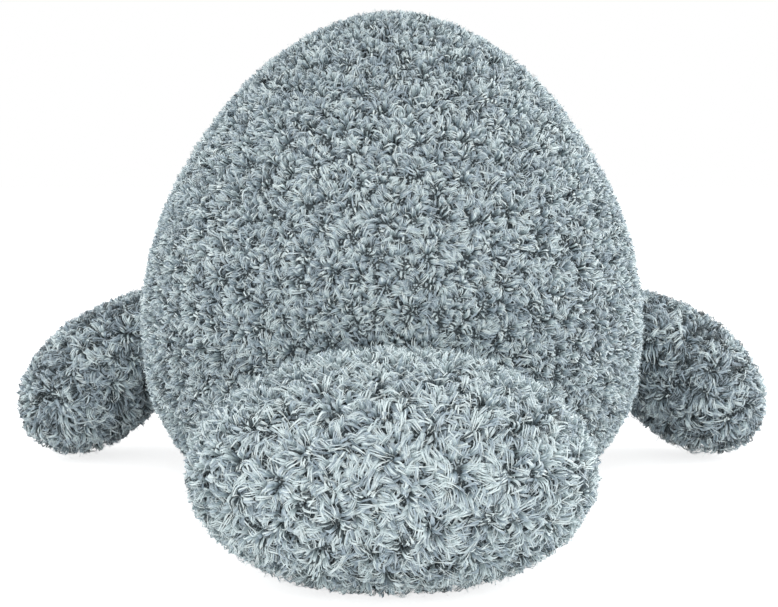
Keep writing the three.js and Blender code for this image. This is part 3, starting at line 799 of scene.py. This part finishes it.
def make_eye(side):
    """A smooth dome on a stem, turned about the line through the frame's eye and washer."""
    corners = points_of(f"eye_{side}")
    middle = corners.mean(0)
    axis = unit(middle - points_of(f"eye_washer_{side}").mean(0))
    along = (corners - middle) @ axis
    apart = np.linalg.norm(corners - middle - along[:, None] * axis, axis=1)
    radius, foot, top = apart.max(), along.min(), along.max()
    rim = top - EYE_DOME
    outline = [(0, foot), (EYE_STEM, foot), (EYE_STEM, rim), (radius * EYE_BASE, rim)]
    for turn in np.linspace(0, math.pi / 2, EYE_RINGS):
        level = rim + EYE_EDGE + (EYE_DOME - EYE_EDGE) * math.sin(turn)
        outline.append((radius * math.cos(turn), level))
    shell = bmesh.new()
    rail = [shell.verts.new((out, 0, up)) for out, up in outline]
    lines = [shell.edges.new(pair) for pair in zip(rail, rail[1:])]
    bmesh.ops.spin(shell, geom=rail + lines, axis=(0, 0, 1), steps=EYE_SIDES, angle=2 * math.pi)
    bmesh.ops.remove_doubles(shell, verts=shell.verts, dist=WELD)
    bmesh.ops.recalc_face_normals(shell, faces=shell.faces)
    turned = Vector(axis).to_track_quat("Z", "Y").to_matrix().to_4x4()
    bmesh.ops.transform(shell, matrix=turned, verts=shell.verts)
    bmesh.ops.translate(shell, vec=middle, verts=shell.verts)
    mesh = bpy.data.meshes.new(f"eye_dome_{side}")
    shell.to_mesh(mesh)
    shell.free()
    stand_for(bpy.data.objects.new(mesh.name, mesh), f"eye_{side}", eye_plastic)
    return middle + rim * axis, radius


def cord(name, paths, radius):
    """Round threads along paths, as one piece."""
    curve = bpy.data.curves.new(name, "CURVE")
    curve.dimensions = "3D"
    curve.bevel_depth = radius
    curve.bevel_resolution = CORD_ROUNDNESS
    curve.use_fill_caps = True
    for path in paths:
        spline = curve.splines.new("POLY")
        spline.points.add(len(path) - 1)
        spline.points.foreach_set("co", np.c_[path, np.ones(len(path))].ravel())
    drawn = bpy.data.objects.new(name, curve)
    bpy.context.scene.collection.objects.link(drawn)
    evaluated = drawn.evaluated_get(bpy.context.evaluated_depsgraph_get())
    mesh = bpy.data.meshes.new_from_object(evaluated)
    bpy.data.objects.remove(drawn)
    return bpy.data.objects.new(name, mesh)


def make_nostril(side):
    """An oval of satin stitch: threads side by side that dip into the cloth at both ends."""
    corners = points_of(f"nostril_{side}")
    middle = (corners.min(0) + corners.max(0)) / 2
    long_way, wide_way, out = np.linalg.svd(corners - corners.mean(0))[2]
    out = out * np.sign(out[1])
    ways = (long_way, wide_way, out)
    long_half, wide_half, high = (np.abs((corners - middle) @ way).max() for way in ways)
    across = np.linspace(-1, 1, SATIN_STEPS)
    paths = []
    for place in np.linspace(-SATIN_SPAN, SATIN_SPAN, SATIN_THREADS):
        half = math.sqrt(1 - place ** 2)
        up = (high + SATIN_DIP) * half * np.sqrt(1 - SATIN_ARCH * across ** 2) - SATIN_DIP
        slant = place * long_half + SATIN_SLANT * across * wide_half
        sides = across * half * wide_half
        paths.append(middle + slant[:, None] * long_way + sides[:, None] * wide_way + up[:, None] * out)
    radius = SATIN_COVER * long_half / SATIN_THREADS
    piece = cord(f"nostril_satin_{side}", paths, radius)
    stand_for(piece, f"nostril_{side}", embroidery)
    return middle, (long_half + wide_half) / 2


def make_mouth():
    """A twisted cord along the frame's mouth line, taken as smooth curves over its width."""
    corners = points_of("mouth_stitch")
    width = np.abs(corners[:, 0]).max()
    fit = np.stack([(corners[:, 0] / width) ** power for power in MOUTH_POWERS], 1)
    curves = np.linalg.lstsq(fit, corners[:, 1:], rcond=None)[0]
    share = np.linspace(-MOUTH_SPAN, MOUTH_SPAN, MOUTH_STEPS)
    line = np.c_[share * width, np.stack([share ** power for power in MOUTH_POWERS], 1) @ curves]
    ahead = unit(np.gradient(line, axis=0))
    out = unit(np.cross(ahead, np.array([0, 0, -1])))
    up = np.cross(out, ahead)
    run = np.cumsum(np.linalg.norm(np.gradient(line, axis=0), axis=1))[:, None]
    paths = []
    for ply in range(MOUTH_PLIES):
        turn = 2 * math.pi * (run / MOUTH_TWIST + ply / MOUTH_PLIES)
        paths.append(line + MOUTH_PLY * (np.cos(turn) * out + np.sin(turn) * up))
    stand_for(cord("mouth_cord", paths, MOUTH_PLY), "mouth_stitch", embroidery)
    return [(place, 2 * MOUTH_PLY) for place in line[::MOUTH_CLEARING_STEP]]


# Studio
def make_camera():
    """The photograph's camera."""
    data = bpy.data.cameras.new("camera")
    data.sensor_width = SENSOR_WIDTH
    data.lens = FOCAL_PIXELS * SENSOR_WIDTH / PHOTO_WIDTH
    data.shift_x = -CENTRE_SHIFT_PIXELS / PHOTO_WIDTH
    data.clip_start = CLIP_START
    camera = bpy.data.objects.new("camera", data)
    camera.location = CAMERA_PLACE
    camera.rotation_euler = (math.radians(90 - CAMERA_DOWN_DEGREES), 0, 0)
    bpy.context.scene.collection.objects.link(camera)
    bpy.context.scene.camera = camera


def make_lamp(name, place, size, power):
    """A round soft lamp that faces the toy."""
    data = bpy.data.lights.new(name, "AREA")
    data.shape = "DISK"
    data.size = size
    data.energy = power
    lamp = bpy.data.objects.new(name, data)
    lamp.location = place
    lamp.rotation_euler = (Vector(LAMP_AIM) - Vector(place)).to_track_quat("-Z", "Y").to_euler()
    bpy.context.scene.collection.objects.link(lamp)


def seen_directly(tree):
    """1 for what the camera, a reflection or glass sees, and 0 for light that falls on other things."""
    path = add(tree, "ShaderNodeLightPath")
    first = add(tree, "ShaderNodeMath", operation="MAXIMUM")
    second = add(tree, "ShaderNodeMath", operation="MAXIMUM")
    tree.links.new(path.outputs["Is Camera Ray"], first.inputs[0])
    tree.links.new(path.outputs["Is Glossy Ray"], first.inputs[1])
    tree.links.new(first.outputs[0], second.inputs[0])
    tree.links.new(path.outputs["Is Transmission Ray"], second.inputs[1])
    return second.outputs[0]


def show(tree, lighting, seen, output):
    """Ends a tree with one shader for the light on other things, and another for what is seen."""
    mix = add(tree, "ShaderNodeMixShader")
    tree.links.new(seen_directly(tree), mix.inputs["Fac"])
    tree.links.new(lighting.outputs[0], mix.inputs[1])
    tree.links.new(seen.outputs[0], mix.inputs[2])
    tree.links.new(mix.outputs[0], add(tree, output).inputs["Surface"])


def make_world():
    """Even light from all sides, seen as plain white."""
    world = bpy.data.worlds.new("studio")
    bpy.context.scene.world = world
    world.use_nodes = True
    tree = world.node_tree
    tree.nodes.clear()
    fill = add(tree, "ShaderNodeBackground", Color=WHITE, Strength=WORLD_FILL)
    white = add(tree, "ShaderNodeBackground", Color=WHITE, Strength=1)
    show(tree, fill, white, "ShaderNodeOutputWorld")


def make_floor():
    """A pale floor, seen as white where it is lit and with a soft shadow where it is not."""
    bpy.ops.mesh.primitive_plane_add(size=FLOOR_SIZE, location=(0, 0, 0))
    floor = bpy.context.object
    floor.name = "floor"
    material, tree, _ = new_material("floor_white")
    tree.nodes.clear()
    pale = add(tree, "ShaderNodeBsdfDiffuse", Color=(FLOOR_BOUNCE, FLOOR_BOUNCE, FLOOR_BOUNCE, 1))
    shaded = add(tree, "ShaderNodeBsdfDiffuse", Color=(FLOOR_SHADED, FLOOR_SHADED, FLOOR_SHADED, 1))
    glow = add(tree, "ShaderNodeEmission", Color=WHITE, Strength=FLOOR_GLOW)
    both = add(tree, "ShaderNodeAddShader")
    tree.links.new(shaded.outputs[0], both.inputs[0])
    tree.links.new(glow.outputs[0], both.inputs[1])
    show(tree, pale, both, "ShaderNodeOutputMaterial")
    floor.data.materials.append(material)


# Noise vectors start from the clock unless they are given a seed
noise.seed_set(SEED)

make_camera()
make_world()
make_floor()
for name, (place, size, power) in LAMPS.items():
    make_lamp(name, place, size, power)

backing = backing_material()
fibre = fibre_material()
seam_thread = thread_material("seam_thread", SEAM_COLORS)
embroidery = thread_material("embroidery_thread", EMBROIDERY_COLORS)
eye_plastic = plastic_material("eye_plastic", EYE_COLORS, EYE_ROUGH)
washer_plastic = plastic_material("washer_plastic", WASHER_COLORS, WASHER_ROUGH)

# The frame's own threads and washers, in better materials
for name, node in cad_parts.items():
    for kind, material in (("seam_thread", seam_thread), ("washer", washer_plastic)):
        if kind in name:
            node.data.materials.clear()
            node.data.materials.append(material)

# The face, and the places that fur leaves clear for it
clearings = [make_eye(side) for side in ("left", "right")]
clearings += [make_nostril(side) for side in ("left", "right")]
clearings += make_mouth()

# The stuffed pieces, then their fur, which leaves out what is inside other pieces of the same body
skins = {name: make_skin(f"{name}_plush", **piece) for name, piece in STUFFED.items()}
surfaces = {name: surface_of(skin) for name, skin in skins.items()}
for number, (name, piece) in enumerate(STUFFED.items()):
    body = piece["body"]
    sewn_on = [surfaces[other] for other in STUFFED if other != name and STUFFED[other]["body"] == body]
    rng = np.random.default_rng(SEED + number)
    grow(f"{name}_fur", skins[name], surfaces[name], sewn_on, body, piece["look"], rng)

bpy.context.scene.view_settings.view_transform = "Standard"
